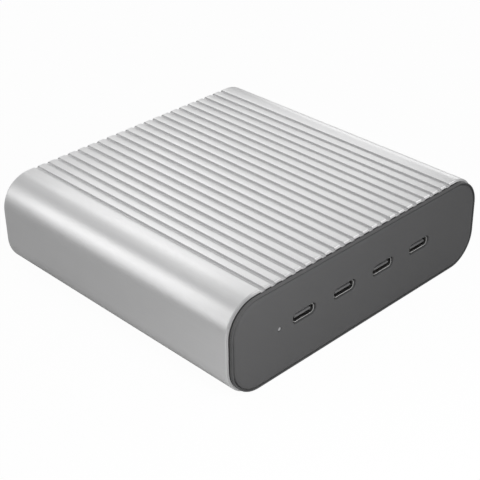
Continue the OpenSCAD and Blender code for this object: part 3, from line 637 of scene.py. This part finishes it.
# The mains inlet is a black glass-filled moulding with a deep keyed cavity
# for the plug of a mains cord. A flange behind the rear panel holds it, and
# three nickel plated blades stand in it, the earth one above the others.
INLET_BACK, INLET_R = 34.4, 0.4
CAVITY_W, CAVITY_H, CAVITY_L, CAVITY_CUT = 24.6, 16.6, 16.0, 4.5
CAVITY_LOW_R, CAVITY_KEY_R = 1.0, 0.6
FLANGE_W, FLANGE_H, FLANGE_R, FLANGE_BEVEL = 33.0, 23.0, 1.0, 0.1
FLANGE_FRONT, FLANGE_BACK = 51.0, 49.5
BLADE_W, BLADE_H, BLADE_R, BLADE_X, BLADE_Z, EARTH_Z = 2.0, 4.0, 0.35, 7.0, 14.6, 18.6
glassy = Finish("black_glass_filled")
cloud = mottled(glassy, 6)
fibre = mottled(glassy, 0.25, (1, 1, 0.2), 4.0)
surfaced(
    glassy, tinted(glassy, fibre, (0.016, 0.016, 0.017), (0.026, 0.026, 0.027)),
    0.5 + cloud * 0.08 + fibre * 0.08, grained(glassy, 0.18, 0.25),
)


def cavity(depth, grow):
    """The keyed cavity's outline at one depth, grown by a little."""
    w, h = CAVITY_W / 2 + grow, CAVITY_H / 2 + grow
    cut = CAVITY_CUT + grow * 0.6
    corners = [
        (-w, -h, CAVITY_LOW_R + grow), (w, -h, CAVITY_LOW_R + grow), (w, h - cut, CAVITY_KEY_R),
        (w - cut, h, CAVITY_KEY_R), (cut - w, h, CAVITY_KEY_R), (-w, h - cut, CAVITY_KEY_R),
    ]
    return [(x, FACE_Y - depth, MID_Z + z) for x, z in rounded_path(corners)]


shape = bmesh.new()
outline = rounded_outline(INLET_W, INLET_H, INLET_R, steps=3)
outer = skinned(shape, [ring(outline, y, inset) for y, inset in (
    (INLET_BACK, 0), (FACE_Y - 0.3, 0), (FACE_Y - 0.12, 0.05),
    (FACE_Y - 0.03, 0.17), (FACE_Y, 0.32), (FACE_Y, 0.37),
)])
mouth = skinned(shape, [cavity(depth, grow) for depth, grow in (
    (0, 0.35), (0, 0.3), (0.03, 0.15), (0.12, 0.04), (0.3, 0),
    (CAVITY_L - 0.4, 0), (CAVITY_L - 0.1, -0.12), (CAVITY_L, -0.4),
)])
filled(shape, [outer[-1], mouth[0]])
shape.faces.new(mouth[-1])
shape.faces.new(outer[0])
capped(shape, rounded_outline(FLANGE_W, FLANGE_H, FLANGE_R, steps=4), [
    (FLANGE_BACK, FLANGE_BEVEL), (FLANGE_BACK + FLANGE_BEVEL, 0),
    (FLANGE_FRONT - FLANGE_BEVEL, 0), (FLANGE_FRONT, FLANGE_BEVEL),
], 0, MID_Z)
coated_with(finished("mains_socket", shape), glassy.owner, "inlet_plastic", "inlet_body")

bright = Finish("bright_nickel")
rubbed = mottled(bright, 1.0, (1, 0.08, 1), 4.0)
surfaced(
    bright, tinted(bright, rubbed, (0.66, 0.65, 0.61), (0.76, 0.75, 0.72)),
    0.18 + rubbed * 0.18, grained(bright, 0.15, 0.08), metallic=1.0,
)
# Place along Y and inset, from the blade's root to its rounded tip
blade_path = [(29.9, 0.3), (30.2, 0), (50.6, 0), (51.1, 0.08), (51.4, 0.2), (51.6, 0.34)]
for name, x, z in (("line", -BLADE_X, BLADE_Z), ("neutral", BLADE_X, BLADE_Z), ("earth", 0.0, EARTH_Z)):
    shape = bmesh.new()
    capped(shape, rounded_outline(BLADE_W, BLADE_H, BLADE_R, steps=3), blade_path, x, z)
    coated_with(finished(f"blade_{name}", shape), bright.owner, "plated_steel", f"pin_{name}")

# The two boards are glass-epoxy under green solder mask, with copper tracks
# that show faintly through it. Two screws hold the port board to its ledges,
# and a black sheet under the main board keeps it from the sleeve.
masked = Finish("green_solder_mask")
weave = masked.add("ShaderNodeTexBrick", {"offset": 0.5}, {
    "Vector": spot(masked), "Scale": 220.0, "Mortar Size": 0.06,
    "Color1": (0, 0, 0, 1), "Color2": (0.3, 0.3, 0.3, 1), "Mortar": (1, 1, 1, 1),
})
tracks = above(masked, mottled(masked, 5.0, (1, 0.25, 1)), 0.55, 0.01)
surfaced(
    masked, tinted(masked, tracks * 0.7 + weave * 0.1, (0.012, 0.055, 0.022), (0.03, 0.12, 0.045)),
    0.28 + mottled(masked, 3.0) * 0.1, bumped(masked, tracks, 0.4, 0.04),
)


def dress(finish, *names):
    """Gives CAD nodes their finish."""
    for name in names:
        mesh = node[name].data
        mesh.materials.clear()
        mesh.materials.append(finish.owner)


dress(masked, "port_board", "main_board")
dress(bright, "port_board_screws")
dress(frosted, "light_chip")

sheet_black = Finish("black_insulation")
cloud = mottled(sheet_black, 8)
surfaced(
    sheet_black, tinted(sheet_black, cloud, (0.012, 0.012, 0.013), (0.02, 0.02, 0.021)),
    0.38 + cloud * 0.12, grained(sheet_black, 0.5, 0.12),
)
dress(sheet_black, "floor_sheet", "link_header", "line_choke_base")

# The chokes, the transformer and the ports' inductors have cores of pressed
# and sintered ferrite. The chokes are wound with enamelled copper wire, the
# transformer with wire under layers of yellow film tape.
sintered = Finish("sintered_ferrite")
pits = mottled(sintered, 0.4, detail=6.0)
surfaced(
    sintered, tinted(sintered, pits, (0.045, 0.045, 0.048), (0.085, 0.085, 0.09)),
    0.55 + pits * 0.2, grained(sintered, 0.3, 0.4),
)
dress(sintered, "line_choke_core", "pfc_choke_core", "transformer_core")
dress(sintered, *[f"output_inductor_{i}" for i in range(1, PORTS + 1)])


def banded(finish, direction, scale, distortion):
    """Bands across one direction, 0 to 1, such as turns of wire."""
    return finish.add("ShaderNodeTexWave", {"bands_direction": direction}, {
        "Vector": spot(finish), "Scale": scale, "Distortion": distortion,
    }, 1)


wound = Finish("enamelled_copper")
turns_of_wire = banded(wound, "Y", 300.0, 0.4)
lacquer = mottled(wound, 3)
surfaced(
    wound, tinted(wound, turns_of_wire * 0.6 + lacquer * 0.4, (0.30, 0.09, 0.03), (0.66, 0.26, 0.10)),
    0.25 + lacquer * 0.12, bumped(wound, turns_of_wire, 0.8, 0.15), metallic=0.75,
)
dress(wound, "line_choke_coil_left", "line_choke_coil_right", "pfc_choke_coil")

taped = Finish("yellow_film_tape")
layers = banded(taped, "Z", 60.0, 1.5)
surfaced(
    taped, tinted(taped, layers, (0.55, 0.31, 0.02), (0.74, 0.46, 0.04)),
    0.2 + mottled(taped, 2) * 0.15, bumped(taped, layers, 0.5, 0.06),
)
dress(taped, "transformer_coil")

# The two bulk capacitors lie on the main board in black shrink sleeve.
# Beside the inlet are a yellow boxed film capacitor and a dipped blue disc,
# and four bare drawn cans stand on the port board.
shrunk = Finish("black_shrink_sleeve")
wrinkle = mottled(shrunk, 4, (1, 0.2, 1), 3.0)
surfaced(
    shrunk, tinted(shrunk, wrinkle, (0.011, 0.011, 0.014), (0.022, 0.022, 0.027)),
    0.2 + wrinkle * 0.15, bumped(shrunk, wrinkle, 0.3, 0.1),
)
dress(shrunk, "bulk_capacitor_left", "bulk_capacitor_right")

boxed = Finish("yellow_moulded_box")
cloud = mottled(boxed, 5)
surfaced(
    boxed, tinted(boxed, cloud, (0.60, 0.40, 0.035), (0.70, 0.50, 0.07)),
    0.35 + cloud * 0.1, grained(boxed, 0.4, 0.15),
)
dress(boxed, "filter_capacitor")

dipped = Finish("blue_dipped_epoxy")
run_down = mottled(dipped, 2.5, (1, 1, 0.4))
surfaced(
    dipped, tinted(dipped, run_down, (0.015, 0.07, 0.34), (0.03, 0.12, 0.46)),
    0.18 + run_down * 0.15, bumped(dipped, run_down, 0.4, 0.2),
)
dress(dipped, "safety_capacitor")

drawn_can = Finish("drawn_aluminium_can")
streak = mottled(drawn_can, 0.3, (1, 1, 0.04), 4.0)
surfaced(
    drawn_can, tinted(drawn_can, streak, (0.62, 0.62, 0.635), (0.74, 0.74, 0.75)),
    0.28 + streak * 0.15, grained(drawn_can, 0.2, 0.1), metallic=1.0,
)
dress(drawn_can, *[f"output_can_{i}" for i in range(1, PORTS + 1)])

# Fuse, bridge, switches, rectifiers and the control chip are moulded in
# black epoxy. Soft pads press the switches and the transformer against a
# folded mill-finish bracket, which takes their heat to the sleeve.
resin = Finish("black_epoxy")
cloud = mottled(resin, 1.5, detail=5.0)
surfaced(
    resin, tinted(resin, cloud, (0.010, 0.010, 0.010), (0.018, 0.018, 0.018)),
    0.52 + cloud * 0.15, grained(resin, 0.12, 0.3),
)
dress(resin, "fuse", "bridge_rectifier", "control_chip")
dress(resin, "switch_left", "switch_right", "rectifier_left", "rectifier_right")

soft_pad = Finish("grey_blue_pad")
filler = mottled(soft_pad, 0.5, detail=6.0)
surfaced(
    soft_pad, tinted(soft_pad, filler, (0.20, 0.25, 0.33), (0.30, 0.35, 0.43)),
    0.78 + filler * 0.12, grained(soft_pad, 0.35, 0.4),
)
dress(soft_pad, "transformer_pad", "switch_pad", "bracket_pad")

rolled = Finish("mill_finish_aluminium")
mill = mottled(rolled, 0.25, (0.03, 1, 1), 4.0)
surfaced(
    rolled, tinted(rolled, mill, (0.56, 0.57, 0.58), (0.70, 0.70, 0.71)),
    0.32 + mill * 0.16, grained(rolled, 0.2, 0.12), metallic=1.0,
)
dress(rolled, "heat_bracket")
